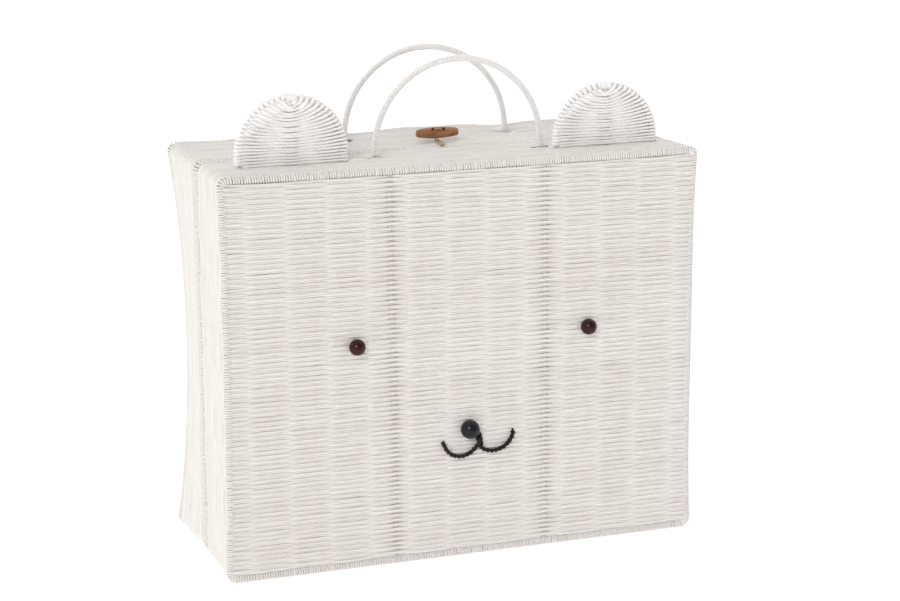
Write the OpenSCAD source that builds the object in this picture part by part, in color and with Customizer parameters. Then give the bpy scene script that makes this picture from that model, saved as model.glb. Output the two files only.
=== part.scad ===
// Wicker storage trunk: two woven tray shells hinged along the bottom of the seam,
// with a bear face and ears on the front shell, two hoop handles and a toggle closure.
// Millimetres. +X is the trunk's right as seen from the front, -Y is the front, +Z is up.
// The origin is the middle of the base of the whole object's box.

/* [Shells] */
// Outside width of the trunk
body_w = 500; // [440:10:560]
// Outside height of the shells, without ears and handles
body_h = 407; // [360:1:460]
// Depth of each tray shell, from the seam to its face
shell_d = 102; // [80:1:130]
// Gap between the two rims when the trunk is shut
seam_gap = 0.6; // [0.6:0.1:2]
// Thickness of the woven walls
wall_t = 8; // [7:0.2:8.4]
// Corner radius of the frame rods, along their middle
corner_r = 6; // [5:1:12]

/* [Rods and strands] */
// Diameter of the rattan frame rods
rod_d = 4; // [3.6:0.1:4.4]
// Thickness of the strand that wraps the rods
strand_d = 2.2; // [1.8:0.1:2.6]
// Diameter of the stakes that the walls are woven on
stake_d = 3; // [2:0.2:3]
// Distance from stake to stake
stake_pitch = 20.5; // [20:0.1:21]
// Number of stakes across the width
stakes_across = 24; // [20:2:24]
// Number of stakes up each side wall
stakes_up = 19; // [15:1:19]
// Diameter of the two stout bars in each face
stiffener_d = 5; // [4:0.5:5.5]
// Places of the two bars across the width
stiffener_x = [-78, 84];

/* [Ears] */
// Outside radius of an ear
ear_r = 57.5; // [45:0.5:60]
// Height of the left ear's top
left_ear_top = 477; // [465:1:485]
// Height of the right ear's top
right_ear_top = 472; // [465:1:485]
// Middle of the left ear across the width
left_ear_x = -164.5; // [-175:0.5:-160]
// Middle of the right ear across the width
right_ear_x = 169; // [165:0.5:175]
// Distance of the ears in front of the seam
ear_setback = 52; // [30:1:70]

/* [Face] */
// Middle of the left eye
left_eye_at = [-116.6, 231];
// Middle of the right eye
right_eye_at = [130.4, 230];
// Middle of the nose
nose_at = [1.2, 135];
// Diameter of an eye bead
eye_d = 16.5; // [12:0.5:18]
// Diameter of the nose bead
nose_d = 19.5; // [14:0.5:22]
// Thickness of the mouth's yarn
yarn_d = 4.4; // [3:0.2:5]

/* [Handles] */
// Distance between the two legs of a handle
handle_w = 178; // [150:1:180]
// Height of the middle of a handle's top
handle_top = 501; // [490:1:520]
// Middle of the handles across the width
handle_x = 15.5; // [14:0.1:17]
// Distance of the front handle in front of the seam
front_handle_y = 36; // [30:1:40]
// Distance of the back handle behind the seam
back_handle_y = 64; // [40:1:70]
// Outside diameter of a wrapped handle
handle_d = 7.5; // [6:0.1:7.6]

/* [Closure] */
// Length of the toggle
toggle_l = 45; // [35:1:55]
// Diameter of the toggle at its middle
toggle_d = 11.6; // [9:0.2:13]
// Diameter of the toggle at its ends
toggle_end_d = 7.6; // [6:0.2:9]
// Middle of the toggle: across the width, and behind the seam
toggle_at = [14, 23.5];
// Thickness of the closure cord
cord_d = 1.8; // [1.2:0.1:2]

/* [Hidden] */
$fn = 48;

clear = 0.05;                              // fit of fixed pieces in their holes
weave_clear = 0.3;                         // between a woven wall and a wrapped rod
rod_r = rod_d / 2;
stake_r = stake_d / 2;
edge_r = rod_r + strand_d;                 // a wrapped rod
rod_x = body_w / 2 - edge_r;               // middle of the frame rods
rod_lo = edge_r;
rod_hi = body_h - edge_r;
face_y = -(shell_d - edge_r);              // front shell; the back one is its mirror image
rim_y = -(seam_gap / 2 + edge_r);
face_front = face_y - wall_t / 2;
face_inside = face_y + wall_t / 2;
wall_top = rod_hi + wall_t / 2;            // upper surface of the top wall
wall_from = face_y + edge_r + weave_clear;
wall_to = rim_y - edge_r - weave_clear;

bead_sink = 0.46;                          // part of a bead's radius cut off for its flat back
nose_reach = nose_d * (1 - bead_sink / 2) + clear - (shell_d + face_front);
seam_y = nose_reach / 2;                   // the nose moves the middle of the box forward

stake_xs = [for (i = [0:stakes_across - 1]) (i - (stakes_across - 1) / 2) * stake_pitch];
stake_zs = [for (i = [1:stakes_up]) rod_lo + (rod_hi - rod_lo) * i / (stakes_up + 1)];
tie_xs = [-8 * stake_pitch, 0, 8 * stake_pitch];
tie_w = 6;
tie_gap = 0.35;                            // between a tie and the rods it holds

peg_r = 1.5;
peg_l = 12;
handle_r = handle_w / 2;
handle_core_r = 1.75;
handle_centre_z = handle_top - handle_r;
eye_ring_r = 3.6;                          // the eye at a handle's foot
eye_ring_l = 7.4;
slot = [8.4, 14.8];                        // opening in the weave for a handle's foot

ear_core_r = 1.75;
ear_wrap_r = 3.75;
ear_t = 6;
stem_r = 1;
washer_r = 6;
washer_t = 2;
yarn_dip = 1.9;                            // how deep the yarn's ends go into the weave

hole_apart = 11;                           // between the toggle's two thread holes
thread_r = 1;
toggle_z = wall_top + 9.8;
knot_r = 2.2;
tail_r = 0.8;                              // the knot's end, tied into the front rim's winding
knot_at = [9.5, rim_y];
loop_z = wall_top + 1;

wicker = [0.93, 0.92, 0.9];
cane = [0.86, 0.8, 0.68];

// ---- helpers ----

// Places a shell's pieces: modelled as the front shell, mirrored for the back one
module shell(side) {
    translate([0, seam_y, 0])
        if (side == "back") mirror([0, 1, 0]) children();
        else children();
}

// Closed rounded rectangle of round rod in an upright plane
module rod_loop(y, r) {
    x = rod_x - corner_r;
    lo = rod_lo + corner_r;
    hi = rod_hi - corner_r;
    for (s = [-1, 1]) {
        translate([s * rod_x, y, lo]) cylinder(h = hi - lo, r = r);
    }
    for (z = [rod_lo, rod_hi]) {
        translate([-x, y, z]) rotate([0, 90, 0]) cylinder(h = 2 * x, r = r);
    }
    for (k = [0:3]) {
        translate([(k == 0 || k == 3) ? x : -x, y, k < 2 ? hi : lo])
            rotate([90, 0, 0]) rotate([0, 0, 90 * k])
                rotate_extrude(angle = 90) translate([corner_r, 0]) circle(r = r);
    }
}

// Upright half hoop with straight legs down to leg_z
module hoop(centre, radius, leg_z, r) {
    translate(centre) rotate([90, 0, 0])
        rotate_extrude(angle = 180) translate([radius, 0]) circle(r = r);
    for (s = [-1, 1]) {
        translate([centre[0] + s * radius, centre[1], leg_z])
            cylinder(h = centre[2] - leg_z, r = r);
    }
}

// Flat rectangle in X and Z with round corners, centred left to right
module round_rect(half_w, lo, hi, r) {
    translate([-half_w + r, lo]) square([2 * (half_w - r), hi - lo]);
    translate([-half_w, lo + r]) square([2 * half_w, hi - lo - 2 * r]);
    for (x = [-half_w + r, half_w - r], z = [lo + r, hi - r]) {
        translate([x, z]) circle(r = r);
    }
}

// Extrudes an X-Z outline from y0 to y1
module upright(y0, y1) {
    translate([0, y1, 0]) rotate([90, 0, 0]) linear_extrude(height = y1 - y0) children();
}

// Round cord swept through a list of points, with its cross-section carried along unturned
function unit(v) = v / norm(v);
function directions(p) = [
    for (i = [0:len(p) - 1]) unit(p[min(i + 1, len(p) - 1)] - p[max(i - 1, 0)])
];
function carried(t, side, i = 0) = i == len(t) ? [] :
    let (m = unit(side - (side * t[i]) * t[i])) concat([m], carried(t, m, i + 1));

module cord(points, r, side, sides = 10) {
    t = directions(points);
    m = carried(t, side);
    last = len(points) - 1;
    rings = [for (i = [0:last], k = [0:sides - 1]) let (a = 360 * k / sides)
        points[i] + r * (cos(a) * m[i] + sin(a) * cross(t[i], m[i]))];
    walls = [for (i = [0:last - 1], k = [0:sides - 1]) let (n = (k + 1) % sides)
        [i * sides + k, (i + 1) * sides + k, (i + 1) * sides + n, i * sides + n]];
    start_cap = [[for (k = [0:sides - 1]) k]];
    end_cap = [[for (k = [sides - 1:-1:0]) last * sides + k]];
    polyhedron(points = rings, faces = concat(walls, start_cap, end_cap), convexity = 6);
}

// ---- pieces of both shells ----

module face_rod() { rod_loop(face_y, rod_r); }

module rim_rod() { rod_loop(rim_y, rod_r); }

module face_stakes(grow = 0) {
    for (x = stake_xs) {
        translate([x, face_y, rod_lo + rod_r + 0.1])
            cylinder(h = rod_hi - rod_lo - 2 * rod_r - 0.2, r = stake_r + grow);
    }
}

module stiffeners(grow = 0) {
    for (x = stiffener_x) {
        translate([x, face_y, rod_lo + rod_r + 0.1])
            cylinder(h = rod_hi - rod_lo - 2 * rod_r - 0.2, r = stiffener_d / 2 + grow);
    }
}

module wall_stake(grow) {
    rotate([-90, 0, 0])
        cylinder(h = rim_y - face_y - 2 * rod_r - 0.2, r = stake_r + grow);
}

// Stakes of the top, bottom and side walls, which run from the face to the rim
module wall_stakes(grow = 0) {
    start_y = face_y + rod_r + 0.1;
    for (x = stake_xs, z = [rod_lo, rod_hi]) translate([x, start_y, z]) wall_stake(grow);
    for (x = [-rod_x, rod_x], z = stake_zs) translate([x, start_y, z]) wall_stake(grow);
}

// Square gaps in the windings: the turns part where a stake comes through to the rod
module gap_box(at, size) {
    translate(at - size / 2) cube(size);
}

module face_stake_gaps() {
    reach = edge_r + 1;
    for (z = [rod_lo + reach / 2, rod_hi - reach / 2]) {
        for (x = stake_xs) {
            gap_box([x, face_y, z], [stake_d + 2 * clear, stake_d + 2 * clear, reach]);
        }
        for (x = stiffener_x) {
            gap_box([x, face_y, z], [stiffener_d + 2 * clear, stiffener_d + 2 * clear, reach]);
        }
    }
}

module wall_stake_gaps(y) {
    reach = edge_r + 1;
    size = [stake_d + 2 * clear, reach, stake_d + 2 * clear];
    for (x = stake_xs, z = [rod_lo, rod_hi]) gap_box([x, y, z], size);
    for (x = [-rod_x, rod_x], z = stake_zs) gap_box([x, y, z], size);
}

module face_binding() {
    difference() {
        rod_loop(face_y, edge_r);
        rod_loop(face_y, rod_r + clear);
        face_stake_gaps();
        wall_stake_gaps(face_y + (edge_r + 1) / 2);
    }
}

module rim_binding(knot_hole) {
    difference() {
        rod_loop(rim_y, edge_r);
        rod_loop(rim_y, rod_r + clear);
        wall_stake_gaps(rim_y - (edge_r + 1) / 2);
        for (x = tie_xs) {
            gap_box([x, rim_y, rod_lo],
                    [tie_w + 2 * tie_gap, 2 * edge_r + 2, 2 * edge_r + 2]);
        }
        if (knot_hole) {
            translate([knot_at[0], rim_y, rod_hi]) cylinder(h = edge_r + 1, r = tail_r + clear);
        }
    }
}

module face_weave() {
    difference() {
        upright(face_y - wall_t / 2, face_y + wall_t / 2)
            round_rect(rod_x - edge_r - weave_clear, rod_lo + edge_r + weave_clear,
                       rod_hi - edge_r - weave_clear, corner_r - edge_r);
        face_stakes(clear);
        stiffeners(clear);
    }
}

// Left wall with its rounded corners
module side_weave() {
    difference() {
        upright(wall_from, wall_to) difference() {
            round_rect(rod_x + wall_t / 2, rod_lo - wall_t / 2,
                       rod_hi + wall_t / 2, corner_r + wall_t / 2);
            round_rect(rod_x - wall_t / 2, rod_lo + wall_t / 2,
                       rod_hi - wall_t / 2, corner_r - wall_t / 2);
            translate([-rod_x + corner_r - 0.1, -1]) square([body_w, body_h + 2]);
        }
        wall_stakes(clear);
    }
}

module bottom_weave() {
    x = rod_x - corner_r;
    difference() {
        translate([-x, wall_from, 0]) cube([2 * x, wall_to - wall_from, wall_t]);
        wall_stakes(clear);
    }
}

// Plain top wall, before a shell's own openings are cut
module top_plate() {
    x = rod_x - corner_r;
    difference() {
        translate([-x, wall_from, wall_top - wall_t])
            cube([2 * x, wall_to - wall_from, wall_t]);
        wall_stakes(clear);
    }
}

// ---- handles; y is the distance from the seam, negative in front ----

module handle_slots(y) {
    for (s = [-1, 1]) {
        translate([handle_x + s * handle_r - slot[0] / 2, y - slot[1] / 2, wall_top - wall_t - 1])
            cube([slot[0], slot[1], wall_t + 2]);
    }
}

module handle_pegs(y, grow = 0) {
    for (s = [-1, 1]) {
        translate([handle_x + s * handle_r - peg_l / 2, y, rod_hi])
            rotate([0, 90, 0]) cylinder(h = peg_l, r = peg_r + grow);
    }
}

module handle_core(y) {
    difference() {
        union() {
            hoop([handle_x, y, handle_centre_z], handle_r, rod_hi, handle_core_r);
            for (s = [-1, 1]) {
                translate([handle_x + s * handle_r - eye_ring_l / 2, y, rod_hi])
                    rotate([0, 90, 0]) cylinder(h = eye_ring_l, r = eye_ring_r);
            }
        }
        handle_pegs(y, clear);
    }
}

module handle_binding(y) {
    foot = rod_hi + eye_ring_r + 0.1;
    difference() {
        hoop([handle_x, y, handle_centre_z], handle_r, foot, handle_d / 2);
        hoop([handle_x, y, handle_centre_z], handle_r, foot - 1, handle_core_r + clear);
    }
}

// ---- ears, on the front shell ----

function ear_centre(x, top) = [x, -ear_setback, top - ear_r];
ear_foot = rod_hi + stake_r + 0.15;        // the ears' rods rest on the wall's stakes

module ear_hoop(x, top, grow = 0) {
    hoop(ear_centre(x, top), ear_r - ear_wrap_r, ear_foot, ear_core_r + grow);
}

module ear_stake(x, top, grow = 0) {
    translate([x, -ear_setback, ear_foot])
        cylinder(h = top - ear_wrap_r - ear_core_r - 0.1 - ear_foot, r = stake_r + grow);
}

// Woven panel of an ear, with the turns that its strand takes round the hoop
module ear_weave(x, top) {
    c = ear_centre(x, top);
    foot = wall_top + 0.1;
    difference() {
        union() {
            hoop(c, ear_r - ear_wrap_r, foot, ear_wrap_r);
            translate([x, -ear_setback + ear_t / 2, 0]) rotate([90, 0, 0])
                linear_extrude(height = ear_t) {
                    intersection() {
                        translate([0, c[2]]) circle(r = ear_r - ear_wrap_r);
                        translate([-ear_r, c[2]]) square([2 * ear_r, ear_r]);
                    }
                    translate([-(ear_r - ear_wrap_r), foot])
                        square([2 * (ear_r - ear_wrap_r), c[2] - foot]);
                }
        }
        ear_hoop(x, top, clear);
        ear_stake(x, top, clear);
    }
}

// ---- the face ----

// Glossy bead with a flat back on the weave and a stem through it
module bead(at, d, grow = 0) {
    back = face_front - clear;
    middle = back - d * (0.5 - bead_sink / 2);
    difference() {
        translate([at[0], middle, at[1]]) sphere(r = d / 2 + grow);
        translate([at[0] - d, back, at[1] - d]) cube(2 * d);
    }
    bead_stem(at, grow);
}

module bead_stem(at, grow = 0) {
    translate([at[0], face_inside + washer_t, at[1]]) rotate([90, 0, 0])
        cylinder(h = face_inside - face_front + washer_t + 1, r = stem_r + grow);
}

// The yarn's two strokes; each starts and ends with a dip into the weave
yarn_y = face_front - yarn_d / 2 - 0.1;
dip_y = face_front + yarn_dip - yarn_d / 2;

function stroke(centre, radius, from, to, steps) = [
    for (i = [0:steps]) let (a = from + (to - from) * i / steps)
        [centre[0] + radius * cos(a), yarn_y, centre[1] + radius * sin(a)]
];
function with_dips(points) = concat(
    [[points[0][0], dip_y, points[0][2]]],
    points,
    [[points[len(points) - 1][0], dip_y, points[len(points) - 1][2]]]
);
left_stroke = with_dips(stroke([-7.5, 125.5], 19, 190, 336, 8));
right_stroke = with_dips(concat(
    [[12, yarn_y, 130], [14.6, yarn_y, 118]],
    stroke([27.5, 131], 22, 232, 350, 7)
));

module yarn(points) { cord(points, yarn_d / 2, [1, 0, 0]); }

module yarn_seats() {
    for (p = [left_stroke[0], left_stroke[len(left_stroke) - 1],
              right_stroke[0], right_stroke[len(right_stroke) - 1]]) {
        translate([p[0], face_front + yarn_dip + 0.1, p[2]]) rotate([90, 0, 0])
            cylinder(h = yarn_dip + 1, r = yarn_d / 2 + clear);
    }
}

// ---- closure; its pieces are placed from the seam ----

module thread_holes(r) {
    for (s = [-1, 1]) {
        translate([toggle_at[0] + s * hole_apart / 2, toggle_at[1], toggle_z - toggle_d])
            cylinder(h = 2 * toggle_d, r = r);
    }
}

// Barrel toggle: one arc from end to end, turned round its length
module toggle_barrel() {
    rise = (toggle_d - toggle_end_d) / 2;
    arc_r = (pow(toggle_l / 2, 2) + rise * rise) / (2 * rise);
    outline = [for (i = [-6:6]) let (u = i * toggle_l / 12)
        [sqrt(arc_r * arc_r - u * u) - arc_r + toggle_d / 2, u]];
    difference() {
        translate([toggle_at[0], toggle_at[1], toggle_z]) rotate([0, 90, 0])
            rotate_extrude() polygon(concat([[0, -toggle_l / 2]], outline, [[0, toggle_l / 2]]));
        thread_holes(thread_r + 0.2);
    }
}

module thread_bar(z) {
    translate([toggle_at[0] - hole_apart / 2, toggle_at[1], z])
        rotate([0, 90, 0]) cylinder(h = hole_apart, r = thread_r);
    for (s = [-1, 1]) {
        translate([toggle_at[0] + s * hole_apart / 2, toggle_at[1], z]) sphere(r = thread_r);
    }
}

module thread() {
    over = toggle_z + toggle_d / 2 + thread_r + 0.05;
    under = toggle_z - toggle_d / 2 - thread_r - 0.05;
    thread_bar(over);
    thread_bar(under);
    for (s = [-1, 1]) {
        translate([toggle_at[0] + s * hole_apart / 2, toggle_at[1], under])
            cylinder(h = over - under, r = thread_r);
    }
    shank_end = wall_top - wall_t - knot_r - 0.5;
    translate([toggle_at[0], toggle_at[1], shank_end])
        cylinder(h = under - shank_end, r = thread_r);
    translate([toggle_at[0], toggle_at[1], shank_end]) sphere(r = knot_r);
}

// ---- front shell ----

module front_face_rod() { color(cane) shell("front") face_rod(); }
module front_rim_rod() { color(cane) shell("front") rim_rod(); }
module front_face_binding() { color(wicker) shell("front") face_binding(); }
module front_rim_binding() { color(wicker) shell("front") rim_binding(true); }
module front_face_stakes() { color(cane) shell("front") face_stakes(); }
module front_stiffeners() { color(cane) shell("front") stiffeners(); }
module front_bottom_weave() { color(wicker) shell("front") bottom_weave(); }
module front_left_weave() { color(wicker) shell("front") side_weave(); }
module front_right_weave() { color(wicker) shell("front") mirror([1, 0, 0]) side_weave(); }

module front_wall_stakes() {
    color(cane) shell("front") difference() {
        wall_stakes();
        handle_slots(-front_handle_y);
    }
}

module front_face_weave() {
    color(wicker) shell("front") difference() {
        face_weave();
        bead_stem(left_eye_at, clear);
        bead_stem(right_eye_at, clear);
        bead_stem(nose_at, clear);
        yarn_seats();
    }
}

module front_top_weave() {
    color(wicker) shell("front") difference() {
        top_plate();
        handle_slots(-front_handle_y);
        handle_pegs(-front_handle_y, clear);
        ear_hoop(left_ear_x, left_ear_top, clear);
        ear_hoop(right_ear_x, right_ear_top, clear);
        ear_stake(left_ear_x, left_ear_top, clear);
        ear_stake(right_ear_x, right_ear_top, clear);
    }
}

module left_ear_hoop() { color(cane) shell("front") ear_hoop(left_ear_x, left_ear_top); }
module left_ear_stake() { color(cane) shell("front") ear_stake(left_ear_x, left_ear_top); }
module left_ear_weave() { color(wicker) shell("front") ear_weave(left_ear_x, left_ear_top); }
module right_ear_hoop() { color(cane) shell("front") ear_hoop(right_ear_x, right_ear_top); }
module right_ear_stake() { color(cane) shell("front") ear_stake(right_ear_x, right_ear_top); }
module right_ear_weave() { color(wicker) shell("front") ear_weave(right_ear_x, right_ear_top); }

module left_eye() { color([0.25, 0.06, 0.08]) shell("front") bead(left_eye_at, eye_d); }
module right_eye() { color([0.25, 0.06, 0.08]) shell("front") bead(right_eye_at, eye_d); }
module nose() { color([0.05, 0.05, 0.06]) shell("front") bead(nose_at, nose_d); }

module bead_washers() {
    color("gainsboro") shell("front")
        for (at = [left_eye_at, right_eye_at, nose_at]) difference() {
            translate([at[0], face_inside + washer_t, at[1]]) rotate([90, 0, 0])
                cylinder(h = washer_t - clear, r = washer_r);
            bead_stem(at, clear);
            translate([at[0], face_inside + washer_t + 1, at[1]]) rotate([90, 0, 0])
                cylinder(h = washer_t + 2, r = stem_r + clear);
        }
}

module mouth_left() { color([0.08, 0.06, 0.06]) shell("front") yarn(left_stroke); }
module mouth_right() { color([0.08, 0.06, 0.06]) shell("front") yarn(right_stroke); }

module front_handle_core() { color(cane) shell("front") handle_core(-front_handle_y); }
module front_handle_binding() { color(wicker) shell("front") handle_binding(-front_handle_y); }
module front_handle_pegs() { color(cane) shell("front") handle_pegs(-front_handle_y); }

// ---- back shell ----

module back_face_rod() { color(cane) shell("back") face_rod(); }
module back_rim_rod() { color(cane) shell("back") rim_rod(); }
module back_face_binding() { color(wicker) shell("back") face_binding(); }
module back_rim_binding() { color(wicker) shell("back") rim_binding(false); }
module back_face_stakes() { color(cane) shell("back") face_stakes(); }
module back_stiffeners() { color(cane) shell("back") stiffeners(); }
module back_face_weave() { color(wicker) shell("back") face_weave(); }
module back_bottom_weave() { color(wicker) shell("back") bottom_weave(); }
module back_left_weave() { color(wicker) shell("back") side_weave(); }
module back_right_weave() { color(wicker) shell("back") mirror([1, 0, 0]) side_weave(); }

module back_wall_stakes() {
    color(cane) shell("back") difference() {
        wall_stakes();
        handle_slots(-back_handle_y);
    }
}

module back_top_weave() {
    color(wicker) shell("back") difference() {
        top_plate();
        handle_slots(-back_handle_y);
        handle_pegs(-back_handle_y, clear);
        translate([toggle_at[0], -toggle_at[1], wall_top - wall_t - 1])
            cylinder(h = wall_t + 2, r = thread_r + 0.08);
    }
}

module back_handle_core() { color(cane) shell("back") handle_core(-back_handle_y); }
module back_handle_binding() { color(wicker) shell("back") handle_binding(-back_handle_y); }
module back_handle_pegs() { color(cane) shell("back") handle_pegs(-back_handle_y); }

// ---- closure and hinge ----

module toggle() { color([0.62, 0.35, 0.2]) shell("front") toggle_barrel(); }
module toggle_thread() { color("ivory") shell("front") thread(); }

// Loop from the knot on the front rim, round the toggle's shank and back
module closure_loop() {
    turn_r = thread_r + cord_d / 2 + 0.5;
    turn = [for (a = [200:-40:-20])
        [toggle_at[0] + turn_r * cos(a), toggle_at[1] + turn_r * sin(a), loop_z]];
    knot = [knot_at[0], knot_at[1], rod_hi + edge_r + knot_r + clear];
    out = [knot_at[0] + 1.5, 6, loop_z];
    back = [knot_at[0] + 6.5, 6, loop_z];
    color([0.78, 0.5, 0.25]) shell("front")
        cord(concat([knot + (knot_r + clear) * unit(out - knot), out], turn,
                    [back, knot + (knot_r + clear) * unit(back - knot)]),
             cord_d / 2, [0, 0, 1]);
}

module closure_knot() {
    top = rod_hi + edge_r;
    color([0.78, 0.5, 0.25]) shell("front") {
        translate([knot_at[0], knot_at[1], top + knot_r + clear]) sphere(r = knot_r);
        translate([knot_at[0], knot_at[1], rod_hi + rod_r + 0.1])
            cylinder(h = top + knot_r - rod_hi - rod_r, r = tail_r);
    }
}

// Cane loops round both bottom rim rods
module hinge_ties() {
    outer_r = edge_r - 0.05;
    inner_r = rod_r + tie_gap;
    color(cane) shell("front") for (x = tie_xs) {
        translate([x - tie_w / 2, 0, rod_lo]) rotate([90, 0, 90])
            linear_extrude(height = tie_w) difference() {
                union() {
                    for (s = [-1, 1]) translate([s * rim_y, 0]) circle(r = outer_r);
                    translate([rim_y, -outer_r]) square([-2 * rim_y, 2 * outer_r]);
                }
                for (s = [-1, 1]) translate([s * rim_y, 0]) circle(r = inner_r);
                translate([rim_y, -inner_r]) square([-2 * rim_y, 2 * inner_r]);
            }
    }
}

front_face_rod();
front_rim_rod();
front_face_binding();
front_rim_binding();
front_face_stakes();
front_wall_stakes();
front_stiffeners();
front_face_weave();
front_top_weave();
front_bottom_weave();
front_left_weave();
front_right_weave();
back_face_rod();
back_rim_rod();
back_face_binding();
back_rim_binding();
back_face_stakes();
back_wall_stakes();
back_stiffeners();
back_face_weave();
back_top_weave();
back_bottom_weave();
back_left_weave();
back_right_weave();
left_ear_hoop();
left_ear_stake();
left_ear_weave();
right_ear_hoop();
right_ear_stake();
right_ear_weave();
left_eye();
right_eye();
nose();
bead_washers();
mouth_left();
mouth_right();
front_handle_core();
front_handle_binding();
front_handle_pegs();
back_handle_core();
back_handle_binding();
back_handle_pegs();
toggle();
toggle_thread();
closure_loop();
closure_knot();
hinge_ties();
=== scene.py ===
# Wicker storage trunk with a bear's face: its strands, windings, beads, handles and closure.
import bpy
import bmesh
import math
import numpy as np
from mathutils import Matrix, Vector


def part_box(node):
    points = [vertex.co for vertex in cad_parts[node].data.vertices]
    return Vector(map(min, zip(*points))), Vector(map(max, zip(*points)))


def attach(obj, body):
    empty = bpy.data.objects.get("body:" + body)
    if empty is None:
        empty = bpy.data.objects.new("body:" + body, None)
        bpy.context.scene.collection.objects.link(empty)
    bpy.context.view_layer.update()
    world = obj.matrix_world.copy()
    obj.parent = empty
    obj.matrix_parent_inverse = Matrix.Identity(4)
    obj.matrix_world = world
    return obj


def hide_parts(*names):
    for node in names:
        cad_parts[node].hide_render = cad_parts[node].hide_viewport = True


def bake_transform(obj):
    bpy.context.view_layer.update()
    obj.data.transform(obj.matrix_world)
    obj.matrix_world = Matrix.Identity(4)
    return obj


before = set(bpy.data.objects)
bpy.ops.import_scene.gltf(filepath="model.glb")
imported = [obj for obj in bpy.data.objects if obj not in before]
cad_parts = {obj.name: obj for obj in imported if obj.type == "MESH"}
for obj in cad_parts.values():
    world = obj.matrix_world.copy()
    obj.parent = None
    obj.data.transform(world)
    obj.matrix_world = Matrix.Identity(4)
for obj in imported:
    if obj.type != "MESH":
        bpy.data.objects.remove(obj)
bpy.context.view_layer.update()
scene = bpy.context.scene
mm = 0.001
chance = np.random.default_rng(11)


# Camera

view = {
    "place": (-0.7718, -2.1574, 0.7963),  # metres
    "yaw": 20.068,                        # degrees to the right of straight ahead
    "pitch": 13.50,                       # degrees down
    "roll": 0.16,
    "lens": 90.96,
}


def makeCamera(values):
    yaw, pitch = math.radians(values["yaw"]), math.radians(values["pitch"])
    ahead = Vector((math.sin(yaw) * math.cos(pitch), math.cos(yaw) * math.cos(pitch), -math.sin(pitch)))
    level = ahead.to_track_quat("-Z", "Y").to_matrix()
    turned = Matrix.Rotation(math.radians(values["roll"]), 3, ahead) @ level
    camera = bpy.data.objects.new("camera", bpy.data.cameras.new("camera"))
    camera.data.lens = values["lens"]
    camera.data.sensor_width = 36
    camera.data.clip_end = 100
    camera.matrix_world = Matrix.Translation(values["place"]) @ turned.to_4x4()
    scene.collection.objects.link(camera)
    scene.camera = camera


makeCamera(view)
print("camera is set")


# Where the frame's rods are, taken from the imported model

def rodPlaces():
    low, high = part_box("front_face_rod")
    rimLow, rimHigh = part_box("front_rim_rod")
    backLow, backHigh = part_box("back_rim_rod")
    rodR = (high.y - low.y) / 2
    seam = (rimLow.y + rimHigh.y + backLow.y + backHigh.y) / 4
    return {
        "rodR": rodR,
        "rodX": high.x - rodR,
        "low": low.z + rodR,
        "high": high.z - rodR,
        "seam": seam,
        "face": seam - (low.y + high.y) / 2,   # distances from the seam
        "rim": seam - (rimLow.y + rimHigh.y) / 2,
    }


rods = rodPlaces()
middle = (rods["low"] + rods["high"]) / 2

handmade = {
    "edgeBow": 12.5 * mm,   # the back left edge bends in at half height
    "edgeFlare": 2.2 * mm,  # and out at its corners
    "topLift": 3.8 * mm,    # the back top edge stands a little higher than the front one
    "topWave": 1.2 * mm,
    "cornerOut": 3.0 * mm,  # the corners of both shells stand out sideways
    "cornerUp": 1.6 * mm,   # and the top ones upward
    "dish": 0.8 * mm,       # slow unevenness of the walls
}


# Places that count from the seam, turned into places in the frame, with the unevenness of handwork
def place(points, side):
    points = np.array(points, float)
    x, depth, z = points[:, 0].copy(), points[:, 1].copy(), points[:, 2].copy()
    share = np.clip(depth / rods["face"], 0, 1)
    up = np.clip((z - rods["low"]) / (rods["high"] - rods["low"]), 0, 1)
    middleness = 2 * up - 1
    edgeness = (np.abs(x) / rods["rodX"]) ** 8
    x += handmade["cornerOut"] * np.sign(x) * np.minimum(edgeness, 1) * np.abs(middleness) ** 5 * share
    z += handmade["cornerUp"] * np.minimum(edgeness, 1) * np.maximum(middleness, 0) ** 8 * share
    if side == "back":
        leftness = np.clip(-x / rods["rodX"], 0, 1) ** 2
        bow = handmade["edgeBow"] * np.sin(np.pi * up) ** 0.9 - handmade["edgeFlare"]
        x += bow * share * leftness
        wave = np.sin(x * 36 + 0.6) + 0.6 * np.sin(x * 83 + 2.0)
        z += (handmade["topLift"] + handmade["topWave"] * wave) * share ** 2 * up ** 6
    dish = np.sin(x * 15 + z * 9 + 0.5) * np.sin(z * 14 - x * 5 + 1.2)
    depth += handmade["dish"] * share ** 4 * dish * np.sin(np.pi * up)
    y = rods["seam"] - depth if side == "front" else rods["seam"] + depth
    return np.stack([x, y, z], axis=1)


# Meshes and strands

def finishMesh(shaped, mesh):
    shaped.to_mesh(mesh)
    shaped.free()
    return mesh


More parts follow.
